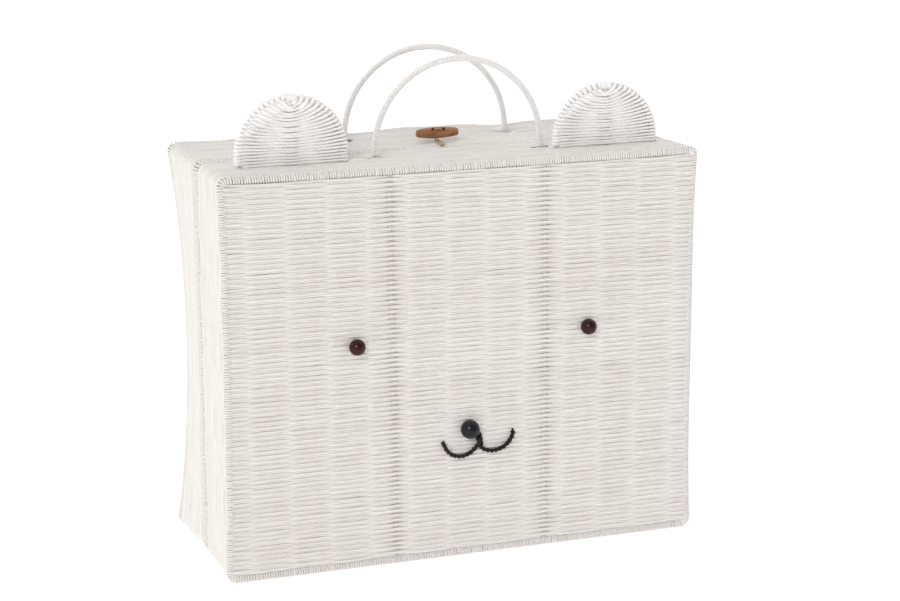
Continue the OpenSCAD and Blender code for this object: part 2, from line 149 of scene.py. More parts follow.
def makeStrands(name, lines, radius, sides=6, closed=False, shades=None):
    # Round strands along lists of points; each keeps its own shade and its distance along
    curve = bpy.data.curves.new(name, "CURVE")
    curve.dimensions = "3D"
    curve.bevel_depth = radius
    curve.bevel_resolution = (sides - 4) // 2
    shadeList, alongList = [], []
    for number, line in enumerate(lines):
        points = np.asarray(line, float)
        widths = np.ones(len(points))
        if not closed:
            first = points[0] - points[1]
            last = points[-1] - points[-2]
            tip = 0.5 * radius
            points = np.vstack([points[0] + tip * first / np.linalg.norm(first), points,
                                points[-1] + tip * last / np.linalg.norm(last)])
            widths = np.concatenate([[0], widths, [0]])
        spline = curve.splines.new("POLY")
        spline.points.add(len(points) - 1)
        spline.points.foreach_set("co", np.c_[points, np.ones(len(points))].ravel())
        spline.points.foreach_set("radius", widths)
        spline.use_cyclic_u = closed
        steps = np.linalg.norm(np.diff(points, axis=0), axis=1)
        along = np.concatenate([[0], np.cumsum(steps)])
        shade = chance.random() if shades is None else shades[number]
        shadeList.append(np.full(len(points) * sides, shade))
        alongList.append(np.repeat(along, sides))
    holder = bpy.data.objects.new(name, curve)
    scene.collection.objects.link(holder)
    bpy.context.view_layer.update()
    graph = bpy.context.evaluated_depsgraph_get()
    mesh = bpy.data.meshes.new_from_object(holder.evaluated_get(graph))
    mesh.name = name
    bpy.data.objects.remove(holder)
    bpy.data.curves.remove(curve)
    for label, values in (("shade", shadeList), ("along", alongList)):
        layer = mesh.attributes.new(label, "FLOAT", "POINT")
        layer.data.foreach_set("value", np.concatenate(values).astype(np.float32))
    if not closed:
        shaped = bmesh.new()
        shaped.from_mesh(mesh)
        bmesh.ops.remove_doubles(shaped, verts=shaped.verts, dist=1e-7)
        finishMesh(shaped, mesh)
    mesh.polygons.foreach_set("use_smooth", [True] * len(mesh.polygons))
    return mesh


pieceCount = []


def addPiece(name, mesh, material, body, stands=()):
    mesh.materials.clear()
    mesh.materials.append(material)
    piece = bpy.data.objects.new(name, mesh)
    scene.collection.objects.link(piece)
    if body:
        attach(piece, body)
    if stands:
        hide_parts(*stands)
    pieceCount.append((name, sum(len(p.vertices) - 2 for p in mesh.polygons)))
    return piece


def addStrands(name, lines, radius, material, body, node, slot, **how):
    return addPiece(name, makeStrands(name, lines, radius, **how), material, body, [node])


def smoothNoise(count, every, size):
    # Slow random wander along a row of points
    knots = chance.normal(0, size, count // every + 3)
    return np.interp(np.arange(count) / every, np.arange(len(knots)), knots)


# Materials

def startMaterial(name):
    material = bpy.data.materials.new(name)
    material.use_nodes = True
    nodes, links = material.node_tree.nodes, material.node_tree.links
    shader = nodes["Principled BSDF"]
    return material, nodes, links, shader


def addNode(nodes, kind, **values):
    node = nodes.new(kind)
    for key, value in values.items():
        setattr(node, key, value)
    return node


def makeMottleGroup():
    # Two scales of noise on the piece's own coordinates, for patchy colour and fine relief
    group = bpy.data.node_groups.new("mottle", "ShaderNodeTree")
    for socket, start in (("patchSize", 40.0), ("grainSize", 900.0)):
        made = group.interface.new_socket(socket, in_out="INPUT", socket_type="NodeSocketFloat")
        made.default_value = start
    group.interface.new_socket("patches", in_out="OUTPUT", socket_type="NodeSocketFloat")
    group.interface.new_socket("grain", in_out="OUTPUT", socket_type="NodeSocketFloat")
    nodes, links = group.nodes, group.links
    entry = nodes.new("NodeGroupInput")
    leave = nodes.new("NodeGroupOutput")
    where = nodes.new("ShaderNodeTexCoord")
    for size, result, detail in (("patchSize", "patches", 3), ("grainSize", "grain", 2)):
        noise = nodes.new("ShaderNodeTexNoise")
        noise.inputs["Detail"].default_value = detail
        links.new(where.outputs["Object"], noise.inputs["Vector"])
        links.new(entry.outputs[size], noise.inputs["Scale"])
        links.new(noise.outputs["Fac"], leave.inputs[result])
    return group


def makeStrandGroup():
    # Long soft streaks that run with a strand and differ from strand to strand
    group = bpy.data.node_groups.new("strandStreaks", "ShaderNodeTree")
    made = group.interface.new_socket("length", in_out="INPUT", socket_type="NodeSocketFloat")
    made.default_value = 30.0
    group.interface.new_socket("streaks", in_out="OUTPUT", socket_type="NodeSocketFloat")
    group.interface.new_socket("shade", in_out="OUTPUT", socket_type="NodeSocketFloat")
    nodes, links = group.nodes, group.links
    entry = nodes.new("NodeGroupInput")
    leave = nodes.new("NodeGroupOutput")
    shade = addNode(nodes, "ShaderNodeAttribute", attribute_name="shade")
    along = addNode(nodes, "ShaderNodeAttribute", attribute_name="along")
    run = addNode(nodes, "ShaderNodeMath", operation="MULTIPLY")
    apart = addNode(nodes, "ShaderNodeMath", operation="MULTIPLY")
    apart.inputs[1].default_value = 91.0
    spread = nodes.new("ShaderNodeCombineXYZ")
    noise = addNode(nodes, "ShaderNodeTexNoise")
    noise.inputs["Scale"].default_value = 1.0
    noise.inputs["Detail"].default_value = 3
    links.new(along.outputs["Fac"], run.inputs[0])
    links.new(entry.outputs["length"], run.inputs[1])
    links.new(shade.outputs["Fac"], apart.inputs[0])
    links.new(run.outputs[0], spread.inputs["X"])
    links.new(apart.outputs[0], spread.inputs["Y"])
    links.new(spread.outputs[0], noise.inputs["Vector"])
    links.new(noise.outputs["Fac"], leave.inputs["streaks"])
    links.new(shade.outputs["Fac"], leave.inputs["shade"])
    return group


mottle = makeMottleGroup()
strandStreaks = makeStrandGroup()


def useGroup(nodes, group, **values):
    node = addNode(nodes, "ShaderNodeGroup", node_tree=group)
    for key, value in values.items():
        node.inputs[key].default_value = value
    return node


def ramp(nodes, stops):
    node = nodes.new("ShaderNodeValToRGB")
    elements = node.color_ramp.elements
    elements[0].position, elements[0].color = stops[0][0], (*stops[0][1], 1)
    elements[1].position, elements[1].color = stops[-1][0], (*stops[-1][1], 1)
    for position, colour in stops[1:-1]:
        elements.new(position).color = (*colour, 1)
    return node


def roughen(nodes, links, source, shader, smoothest, roughest):
    # Roughness that follows a mask
    rough = nodes.new("ShaderNodeMapRange")
    rough.inputs["To Min"].default_value = smoothest
    rough.inputs["To Max"].default_value = roughest
    links.new(source, rough.inputs["Value"])
    links.new(rough.outputs[0], shader.inputs["Roughness"])


def relieve(nodes, links, source, shader, strength, distance):
    # Fine relief that follows a mask
    bump = nodes.new("ShaderNodeBump")
    bump.inputs["Strength"].default_value = strength
    bump.inputs["Distance"].default_value = distance
    links.new(source, bump.inputs["Height"])
    links.new(bump.outputs["Normal"], shader.inputs["Normal"])


def tint(nodes, links, source, shader, stops):
    # Colour that follows a mask
    colours = ramp(nodes, stops)
    links.new(source, colours.inputs["Fac"])
    links.new(colours.outputs["Color"], shader.inputs["Base Color"])


def strandMaterial(name, values):
    # Strand whose colour runs from dark to light with its own shade, its streaks and its patches
    material, nodes, links, shader = startMaterial(name)
    own = useGroup(nodes, strandStreaks, length=values["streakLength"])
    patch = useGroup(nodes, mottle, patchSize=values["patchSize"], grainSize=values["grainSize"])
    first = addNode(nodes, "ShaderNodeMath", operation="MULTIPLY_ADD")
    first.inputs[1].default_value = values["ownShare"]
    second = addNode(nodes, "ShaderNodeMath", operation="MULTIPLY_ADD")
    second.inputs[1].default_value = values["patchShare"]
    streak = addNode(nodes, "ShaderNodeMath", operation="MULTIPLY")
    streak.inputs[1].default_value = 1 - values["ownShare"] - values["patchShare"]
    links.new(own.outputs["streaks"], streak.inputs[0])
    links.new(patch.outputs["patches"], second.inputs[0])
    links.new(streak.outputs[0], second.inputs[2])
    links.new(own.outputs["shade"], first.inputs[0])
    links.new(second.outputs[0], first.inputs[2])
    tint(nodes, links, first.outputs[0], shader, values["colours"])
    roughen(nodes, links, own.outputs["streaks"], shader, *values["roughness"])
    relieve(nodes, links, patch.outputs["grain"], shader, values["bump"], 0.3 * mm)
    shader.inputs["Specular IOR Level"].default_value = values["gloss"]
    return material


wickerLook = {
    "colours": [(0.15, (0.70, 0.66, 0.63)), (0.5, (0.775, 0.745, 0.72)), (0.85, (0.84, 0.82, 0.80))],
    "ownShare": 0.28,
    "patchShare": 0.2,
    "streakLength": 60.0,
    "patchSize": 14.0,
    "grainSize": 1500.0,
    "roughness": (0.38, 0.58),
    "bump": 0.35,
    "gloss": 0.45,
}
paintedWicker = strandMaterial("paintedWicker", wickerLook)
# A lighter copy of the painted wicker for the ears and handles: painted light, standing in for the brighter
# light these top pieces get; the real paint is the same as the face's
litWicker = strandMaterial("litWicker", {
    **wickerLook,
    "colours": [(0.15, (0.86, 0.83, 0.805)), (0.5, (0.91, 0.89, 0.875)), (0.85, (0.94, 0.93, 0.92))],
    "ownShare": 0.1,
    "patchShare": 0.35,
    "bump": 0.3,
})
paintedCane = strandMaterial("paintedCane", {
    "colours": [(0.2, (0.62, 0.55, 0.47)), (0.8, (0.82, 0.79, 0.74))],
    "ownShare": 0.3,
    "patchShare": 0.3,
    "streakLength": 40.0,
    "patchSize": 60.0,
    "grainSize": 1200.0,
    "roughness": (0.4, 0.6),
    "bump": 0.4,
    "gloss": 0.4,
})
paintedRod = strandMaterial("paintedRod", {
    "colours": [(0.2, (0.66, 0.62, 0.58)), (0.8, (0.82, 0.80, 0.77))],
    "ownShare": 0.3,
    "patchShare": 0.3,
    "streakLength": 30.0,
    "patchSize": 50.0,
    "grainSize": 900.0,
    "roughness": (0.45, 0.65),
    "bump": 0.4,
    "gloss": 0.4,
})
# The stout bars are darker than the painted rods, so the gaps in front of them show as dark dots
stoutBar = strandMaterial("stoutBar", {
    "colours": [(0.2, (0.50, 0.47, 0.45)), (0.8, (0.66, 0.63, 0.60))],
    "ownShare": 0.2,
    "patchShare": 0.4,
    "streakLength": 30.0,
    "patchSize": 60.0,
    "grainSize": 900.0,
    "roughness": (0.5, 0.75),
    "bump": 0.5,
    "gloss": 0.3,
})
print("wicker finishes are made")


# Courses: the middle lines of the frame loops

def loopCourse(corner):
    # Points, outward directions and distance round a frame loop, clockwise from the top middle
    spots = [(0, rods["high"], 0, 1)]
    reach = rods["rodX"] - corner
    for x, z, start in ((reach, rods["high"] - corner, 90), (reach, rods["low"] + corner, 0),
                        (-reach, rods["low"] + corner, -90), (-reach, rods["high"] - corner, 180)):
        for angle in np.radians(np.linspace(start, start - 90, 19)):
            c, s = math.cos(angle), math.sin(angle)
            spots.append((x + corner * c, z + corner * s, c, s))
    spots.append((0, rods["high"], 0, 1))
    spots = np.array(spots)
    run = np.concatenate([[0], np.cumsum(np.linalg.norm(np.diff(spots[:, :2], axis=0), axis=1))])
    return run, spots


def onCourse(course, distance):
    run, spots = course
    distance = np.mod(distance, run[-1])
    x, z, nx, nz = (np.interp(distance, run, spots[:, k]) for k in range(4))
    length = np.sqrt(nx * nx + nz * nz)
    return x, z, nx / length, nz / length


frameLoop = {
    "corner": 6 * mm,
}
course = loopCourse(frameLoop["corner"])
around = course[0][-1]

stakes = {
    "radius": 1.5 * mm,
    "pitch": 20.5 * mm,
    "across": 24,
    "up": 19,
    "barRadius": 2.5 * mm,
    "slack": 0.1 * mm,                    # between a stake's end and its rod
    "barTops": (-79.5 * mm, 84 * mm),     # the two stout bars lean a little
    "barFeet": (-75 * mm, 85.5 * mm),
}
stakeX = (np.arange(stakes["across"]) - (stakes["across"] - 1) / 2) * stakes["pitch"]
stakeZ = rods["low"] + (rods["high"] - rods["low"]) * np.arange(1, stakes["up"] + 1) / (stakes["up"] + 1)


def makeFrameRods(side):
    for part in ("face", "rim"):
        run = np.linspace(0, around, 240, endpoint=False)
        x, z, nx, nz = onCourse(course, run)
        line = place(np.stack([x, np.full_like(x, rods[part]), z], axis=1), side)
        addStrands(f"{side}{part.title()}Rod", [line], rods["rodR"], paintedRod, f"{side}_shell",
                   f"{side}_{part}_rod", "rattan_rod", sides=8, closed=True)


def makeStakes(side):
    foot = rods["low"] + rods["rodR"] + stakes["slack"]
    top = rods["high"] - rods["rodR"] - stakes["slack"]
    heights = np.linspace(foot, top, 16)
    lines = [place([(x, rods["face"], z) for z in heights], side) for x in stakeX]
    addStrands(f"{side}FaceStakes", lines, stakes["radius"], paintedRod, f"{side}_shell",
               f"{side}_face_stakes", "rattan_rod", sides=8)
    lines = []
    for ends in zip(stakes["barFeet"], stakes["barTops"]):
        lines.append(place([(np.interp(z, (foot, top), ends), rods["face"], z) for z in heights], side))
    addStrands(f"{side}Stiffeners", lines, stakes["barRadius"], stoutBar, f"{side}_shell",
               f"{side}_stiffeners", "rattan_rod", sides=8)
    deep = rods["face"] - rods["rodR"] - stakes["slack"]
    near = rods["rim"] + rods["rodR"] + stakes["slack"]
    half = handles["slot"][1] / 2
    spots = [(x, z) for z in (rods["low"], rods["high"]) for x in stakeX]
    spots += [(x, z) for x in (-rods["rodX"], rods["rodX"]) for z in stakeZ]
    lines = []
    for x, z in spots:
        stretches = [(deep, near)]
        if nearFoot(x, z):
            stretches = [(deep, handles[side] + half), (handles[side] - half, near)]
        for start, stop in stretches:
            lines.append(place([(x, depth, z) for depth in np.linspace(start, stop, 5)], side))
    addStrands(f"{side}WallStakes", lines, stakes["radius"], paintedRod, f"{side}_shell",
               f"{side}_wall_stakes", "rattan_rod", sides=8)


handles = {
    "slot": (8.4 * mm, 14.8 * mm),        # opening in the top wall at each foot
    "strand": 1.0 * mm,
    "pitch": 2.35 * mm,
    "perTurn": 10,
    "footGap": 0.3 * mm,
    "wander": 0.12 * mm,
}


def handlePlaces():
    # Both handles stand on the same two places across the width
    low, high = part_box("front_handle_binding")
    handles["x"] = (low.x + high.x) / 2
    handles["reach"] = (high.x - low.x - (high.y - low.y)) / 2
    handles["top"] = high.z
    handles["foot"] = low.z
    handles["thick"] = high.y - low.y
    handles["front"] = rods["seam"] - (low.y + high.y) / 2
    low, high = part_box("back_handle_binding")
    handles["back"] = (low.y + high.y) / 2 - rods["seam"]


handlePlaces()


def nearFoot(x, z):
    feet = (handles["x"] - handles["reach"], handles["x"] + handles["reach"])
    return z > middle and any(abs(x - foot) < handles["slot"][0] / 2 for foot in feet)


# Windings round the frame rods

winding = {
    "strand": 1.16 * mm,        # radius of the strand
    "pitch": 2.55 * mm,         # along the top and bottom
    "sidePitch": 2.45 * mm,     # up the sides, with the rows of the face
    "perTurn": 10,
    "wander": 0.17 * mm,        # how far a turn strays along the rod
    "lift": 0.07 * mm,
    "slack": 0.02 * mm,
}


def windLoop(depth, radius, values, gaps=()):
    # One strand wound round a frame loop; gaps are stretches that it leaves free
    run = np.linspace(0, around, 4000)
    nx = onCourse(course, run)[2]
    density = 1 / np.where(np.abs(nx) > 0.7, values["sidePitch"], values["pitch"])
    turns = np.concatenate([[0], np.cumsum((density[1:] + density[:-1]) / 2 * np.diff(run))])
    total = round(turns[-1])
    turns *= total / turns[-1]
    count = total * values["perTurn"]
    turn = np.arange(count) / values["perTurn"]
    stray = smoothNoise(count, values["perTurn"], values["wander"])
    stray[-values["perTurn"]:] = np.linspace(stray[-values["perTurn"]], stray[0], values["perTurn"])
    distance = np.interp(turn, turns, run) + stray
    x, z, nx, nz = onCourse(course, distance)
    reach = radius + np.abs(smoothNoise(count, values["perTurn"] // 2, values["lift"]))
    angle = 2 * np.pi * turn
    points = np.stack([x + reach * np.cos(angle) * nx, depth + reach * np.sin(angle),
                       z + reach * np.cos(angle) * nz], axis=1)
    if not gaps:
        return [points], True
    free = np.zeros(count, bool)
    for x0, x1 in gaps:
        free |= (points[:, 0] > x0) & (points[:, 0] < x1) & (points[:, 2] < middle / 4)
    starts = np.flatnonzero(~free & np.roll(free, 1))
    pieces = []
    for start in starts:
        order = np.mod(np.arange(start, start + count), count)
        stop = np.argmax(free[order]) if free[order].any() else count
        pieces.append(points[order[:stop]])
    return [piece for piece in pieces if len(piece) > 20], False


def makeWindings(side):
    radius = rods["rodR"] + winding["strand"] + winding["slack"]
    half = ties["width"] / 2 + ties["slack"]
    gaps = [(x - half, x + half) for x in ties["places"]]
    for part, free in (("face", ()), ("rim", gaps)):
        lines, closed = windLoop(rods[part], radius, winding, free)
        lines = [place(line, side) for line in lines]
        addStrands(f"{side}{part.title()}Binding", lines, winding["strand"], paintedWicker,
                   f"{side}_shell", f"{side}_{part}_binding", "painted_wicker", closed=closed)


ties = {
    "places": [-164 * mm, 0.0, 164 * mm],
    "width": 6 * mm,
    "slack": 0.2 * mm,
    "strand": 0.95 * mm,
    "clear": 0.4 * mm,          # of the rim rods that they go round
}


# Woven walls

weave = {
    "strand": 1.58 * mm,        # radius of the weaving strand
    "pitch": 2.45 * mm,         # row to row
    "swing": 0.75 * mm,         # how far a row passes in front of and behind the stakes
    "dip": 0.3,                 # the strand sinks a little between its two stakes
    "outward": 1.65 * mm,       # the weave lies on the outer side of its stakes
    "unevenness": 0.11 * mm,
    "step": 4.1 * mm,
    "overBar": 0.3 * mm,        # how far rows rise in front of a stout bar
    "underBar": 1.3 * mm,       # and give way behind it
    "barSpread": 5 * mm,
    "tuck": 0.7 * mm,           # the first and last row press into the winding
    "endGap": 0.8 * mm,         # rows stop short of the frame's sides
    "depthStray": 0.1 * mm,
    "rowStray": 0.06 * mm,
}
wallWeave = {
    "strand": 1.45 * mm,
    "pitch": 2.6 * mm,
    "swing": 0.6 * mm,
    "dip": 0.2,
    "outward": 1.8 * mm,
    "unevenness": 0.2 * mm,
    "rowStray": 0.2 * mm,       # how far a whole row lies out of line
    "depthStray": 0.12 * mm,
    "step": 4.1 * mm,
    "endGap": 0.2 * mm,         # between the weave and the windings
    "slotGap": 1 * mm,          # on each side of a handle's opening
    "endDrops": ((0, 3.2 * mm), (1, 0.9 * mm), (-1, 3.2 * mm), (-2, 0.9 * mm)),
}


def swing(within, values):
    # Height of a row over its stakes; within runs from 0 to 1 over a pair of stakes
    bulge = np.sin(np.pi * within) ** 0.42
    return bulge * (1 - values["dip"] * np.exp(-((within - 0.5) / 0.13) ** 2))


def makeFaceWeave(side, values):
    edge = rods["rodR"] + 2 * winding["strand"]
    low = rods["low"] + edge + values["strand"] - values["tuck"]
    high = rods["high"] - edge - values["strand"] + values["tuck"]
    rows = round((high - low) / values["pitch"]) + 1
    reach = rods["rodX"] - values["endGap"]
    count = round(2 * reach / values["step"]) + 1
    x = np.linspace(-reach, reach, count)
    column = x / (2 * stakes["pitch"]) + 0.5
    number = np.floor(column).astype(int)
    within = column - number
    lines = []
    for row in range(rows):
        z = low + (high - low) * row / (rows - 1)
        out = values["swing"] * swing(within, values) * np.where((number + row) % 2, 1, -1)
        for atTop, atFoot in zip(stakes["barTops"], stakes["barFeet"]):
            bar = np.interp(z, (rods["low"], rods["high"]), (atFoot, atTop))
            near = np.exp(-((x - bar) / values["barSpread"]) ** 2)
            out += np.where(out > 0, values["overBar"], -values["underBar"]) * near
        out += smoothNoise(count, 3, values["depthStray"])
        heights = z + smoothNoise(count, 5, values["unevenness"]) + chance.normal(0, values["rowStray"])
        depths = rods["face"] + values["outward"] + out
        lines.append(place(np.stack([x, depths, heights], axis=1), side))
    half = len(lines) // 2
    for name, some in (("Lower", lines[:half]), ("Upper", lines[half:])):
        addStrands(f"{side}FaceWeave{name}", some, values["strand"], paintedWicker, f"{side}_shell",
                   f"{side}_face_weave", "painted_wicker")


def stakeCourse():
    # Stake numbers against distance round the walls, from the top middle
    corner = frameLoop["corner"]
    reach = rods["rodX"] - corner
    quarter = math.pi / 2 * corner
    drop = rods["high"] - rods["low"] - 2 * corner
    half = stakes["across"] // 2
    right = stakeX[half:]
    down = [reach + quarter + (rods["high"] - corner - z) for z in stakeZ[::-1]]
    base = [reach + 2 * quarter + drop + (reach - x) for x in stakeX[::-1]]
    up = [3 * reach + 3 * quarter + drop + (z - rods["low"] - corner) for z in stakeZ]
    left = [around + x for x in stakeX[:half]]
    places = np.concatenate([right, down, base, up, left])
    total = len(places)
    places = np.concatenate([[places[-1] - around], places, [places[0] + around]])
    return places, np.arange(-1, total + 1), total


def makeWallWeave(side, values):
    # One long strand that goes round and round the walls from the face to the rim
    places, numbers, total = stakeCourse()
    edge = rods["rodR"] + 2 * winding["strand"]
    first = rods["face"] - edge - values["endGap"] - values["strand"]
    last = rods["rim"] + edge + values["endGap"] + values["strand"]
    rounds = round((first - last) / values["pitch"])
    count = int(rounds * around / values["step"])
    travel = np.linspace(0, rounds * around, count) + around / 2
    lap = np.floor(travel / around)
    stakeNumber = np.interp(travel - lap * around, places, numbers) + lap * total
    pair = (stakeNumber - 0.5) / 2
    number = np.floor(pair).astype(int)
    out = values["swing"] * swing(pair - number, values) * np.where(number % 2, 1, -1)
    row = np.floor(travel / around - 0.5).astype(int)
    strays = chance.normal(0, values["rowStray"], (2, rounds + 2))
    out += values["outward"] + strays[0, row] + smoothNoise(count, 3, values["depthStray"])
    depth = np.linspace(first, last, count) + strays[1, row] + smoothNoise(count, 5, values["unevenness"])
    x, z, nx, nz = onCourse(course, travel)
    points = np.stack([x + out * nx, depth, z + out * nz], axis=1)
    parted = np.zeros(count, bool)
    for foot in (handles["x"] - handles["reach"], handles["x"] + handles["reach"]):
        parted |= ((np.abs(points[:, 0] - foot) < handles["slot"][0] / 2 + values["slotGap"])
                   & (points[:, 2] > middle)
                   & (np.abs(depth - handles[side]) < handles["slot"][1] / 2))
    lines = []
    start = 0
    for index in np.append(np.flatnonzero(np.diff(2 * row + parted)) + 1, count):
        if not parted[start]:
            joined = index < count and not parted[index]
            lines.append(points[start:index + joined])
        start = index
    lines = [place(tuckEnds(line, values["endDrops"]), side) for line in lines if len(line) > 3]
    name = f"{side}WallWeave"
    mesh = makeStrands(name, lines, values["strand"])
    nodes = [f"{side}_{wall}_weave" for wall in ("top", "bottom", "left", "right")]
    addPiece(name, mesh, paintedWicker, f"{side}_shell", nodes)


def tuckEnds(line, drops):
    # Where a row stops at an opening its end turns down into the wall
    line = line.copy()
    for index, drop in drops:
        if line[index, 2] > middle:
            line[index, 2] -= drop
    return line


for side in ("front", "back"):
    makeFrameRods(side)
    makeStakes(side)
    makeWindings(side)
    makeFaceWeave(side, weave)
    makeWallWeave(side, wallWeave)
    print(f"{side} shell is woven")


# Ears

ears = {
    "strand": 1.36 * mm,
    "core": 1.75 * mm,
    "stake": 1.5 * mm,
    "squash": 0.9,              # how far the rows close in between the hoop and the stake
    "footGap": 3.5 * mm,        # from the foot to the first row
    "footPitch": 1.45 * mm,     # rows at the foot of an ear
    "topPitch": 3.2 * mm,       # and near its top
    "middlePitch": 1.45 * mm,   # along the stake
    "turns": 1.5,               # of each row's end round the hoop
    "wobble": 0.35 * mm,
    "stakeSpread": 6 * mm,
    "topGap": 6.5 * mm,
    "closingPitch": 2.15 * mm,
    "perTurn": 10,
}


def makeEar(side, values):
    low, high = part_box(f"{side}_ear_hoop")
    x0, y0 = (low.x + high.x) / 2, (low.y + high.y) / 2
    radius = (high.x - low.x) / 2 - values["core"]
    zc, foot = high.z - values["core"] - radius, low.z
    leg = zc - foot
    quarter = math.pi / 2 * radius

    def hoopAt(run, hand):
        # Point on the hoop's middle line and its outward direction; hand is -1 at the left
        if run < leg:
            return Vector((x0 + hand * radius, y0, foot + run)), Vector((hand, 0, 0))
        angle = (run - leg) / radius
        out = Vector((hand * math.cos(angle), 0, math.sin(angle)))
        return Vector((x0, y0, zc)) + radius * out, out

    line = [hoopAt(leg + angle * radius, -1)[0] for angle in np.linspace(0, np.pi, 40)]
    points = [Vector((x0 - radius, y0, foot)), *line, Vector((x0 + radius, y0, foot))]
    addStrands(f"{side}EarHoop", [np.array(points)], values["core"], paintedRod, "front_shell",
               f"{side}_ear_hoop", "rattan_rod", sides=8)
    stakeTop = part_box(f"{side}_ear_stake")[1].z
    points = [(x0, y0, z) for z in np.linspace(foot, stakeTop, 8)]
    addStrands(f"{side}EarStake", [np.array(points)], values["stake"], paintedRod, "front_shell",
               f"{side}_ear_stake", "rattan_rod", sides=8)

    wrap = values["core"] + values["strand"]
    run = values["footGap"]
    end = leg + quarter - values["topGap"]
    hand, face = -1, -1          # where the row starts, and whether it passes in front
    path = []
    row = 0
    heightMid = foot + run
    while run < end:
        pitch = np.interp(run, (0, end), (values["footPitch"], values["topPitch"]))
        pitch *= 1 + (0.22 if row % 2 else -0.22) * min(1, run / (end * 0.4))
        a, outA = hoopAt(run, hand)
        b, outB = hoopAt(run + pitch, -hand)
        wobble = chance.normal(0, values["wobble"])
        for step in np.linspace(0.04, 0.96, 15):
            spot = a.lerp(b, step)
            bend = 4 * step * (1 - step)
            ends = a.z + (b.z - a.z) * step
            spot.z = ends + (heightMid + wobble - ends) * bend ** 0.8
            near = math.exp(-((spot.x - x0) / values["stakeSpread"]) ** 2)
            spot.y = y0 + face * wrap * (1 - values["squash"] * bend ** 0.5 * (1 - 0.6 * near))
            path.append(spot)
        for step in np.linspace(0.08, 0.95, 13):
            centre, out = hoopAt(run + pitch * (0.3 + 0.7 * step), -hand)
            swept = values["turns"] * 2 * math.pi * step
            across = math.cos(swept) * face
            outward = math.sin(swept)
            path.append(centre + wrap * outward * out + Vector((0, wrap * across, 0)))
        run += pitch
        heightMid += values["middlePitch"]
        hand, face = -hand, -face
        row += 1
    # the strand closes the top of the hoop
    steps = int(2 * values["topGap"] / values["closingPitch"] * values["perTurn"])
    for step in range(steps):
        share = step / steps
        angle = math.pi / 2 + hand * (share - 0.5) * 2 * values["topGap"] / radius
        out = Vector((math.cos(angle), 0, math.sin(angle)))
        swept = 2 * math.pi * step / values["perTurn"]
        path.append(Vector((x0, y0, zc)) + (radius + wrap * math.sin(swept)) * out
                    + Vector((0, face * wrap * math.cos(swept), 0)))
    addStrands(f"{side}EarWeave", [np.array(path)], values["strand"], litWicker, "front_shell",
               f"{side}_ear_weave", "painted_wicker", shades=[0.6])


for side in ("left", "right"):
    makeEar(side, ears)
print("ears are woven")


# Handles

def makeHandle(side, values):
    y = rods["seam"] + (-values["front"] if side == "front" else values["back"])
    radius = values["reach"]
    zc = values["top"] - values["thick"] / 2 - radius
    foot = values["foot"] + values["footGap"]
    leg = zc - foot
    length = 2 * leg + math.pi * radius
    perTurn = values["perTurn"]
    wrap = values["thick"] / 2 - values["strand"]
    count = int(length / values["pitch"]) * perTurn
    stray = smoothNoise(count, perTurn, values["wander"])
    path = []
    for k in range(count):
        run = min(max(length * k / count + stray[k], 0), length)
        if run < leg:
            centre, out = Vector((-radius, 0, foot + run - zc)), Vector((-1, 0, 0))
        elif run > length - leg:
            centre, out = Vector((radius, 0, foot + length - run - zc)), Vector((1, 0, 0))
        else:
            angle = math.pi - (run - leg) / radius
            out = Vector((math.cos(angle), 0, math.sin(angle)))
            centre = radius * out
        swept = 2 * math.pi * k / perTurn
        spot = centre + wrap * math.cos(swept) * out + Vector((0, wrap * math.sin(swept), 0))
        path.append(spot + Vector((values["x"], y, zc)))
    addStrands(f"{side}HandleBinding", [np.array(path)], values["strand"], litWicker, f"{side}_handle",
               f"{side}_handle_binding", "painted_wicker", shades=[0.5])


for side in ("front", "back"):
    makeHandle(side, handles)
print("handles are wound")


# CAD pieces that stay get their finish; copies of some are merged and smoothed

def smoothByAngle(mesh, angle, merged=0.0):
    shaped = bmesh.new()
    shaped.from_mesh(mesh)
    if merged:
        bmesh.ops.remove_doubles(shaped, verts=shaped.verts, dist=merged)
    for edge in shaped.edges:
        edge.smooth = edge.calc_face_angle(3) < math.radians(angle)
    for face in shaped.faces:
        face.smooth = True
    return finishMesh(shaped, mesh)


def smoothCopy(node, name, material, body):
    mesh = smoothByAngle(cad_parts[node].data.copy(), 35, merged=1e-6)
    addPiece(name, mesh, material, body, [node])


def glossyBead(name, colours, values):
    material, nodes, links, shader = startMaterial(name)
    patch = useGroup(nodes, mottle, patchSize=values["patchSize"], grainSize=values["grainSize"])
    tint(nodes, links, patch.outputs["patches"], shader, colours)
    roughen(nodes, links, patch.outputs["grain"], shader, *values["roughness"])
    shader.inputs["Specular IOR Level"].default_value = values["gloss"]
    return material


beadLook = {"patchSize": 70.0, "grainSize": 400.0, "roughness": (0.06, 0.13), "gloss": 0.26}
eyeFinish = glossyBead("darkRedBead", [(0.3, (0.014, 0.0015, 0.003)), (0.75, (0.05, 0.004, 0.008))], beadLook)
noseFinish = glossyBead("blackBead", [(0.3, (0.004, 0.004, 0.006)), (0.75, (0.014, 0.013, 0.018))], beadLook)
beadShape = {
    "standOff": 0.05 * mm,      # between the flat back and the weave
    "rimRound": 0.35 * mm,
}


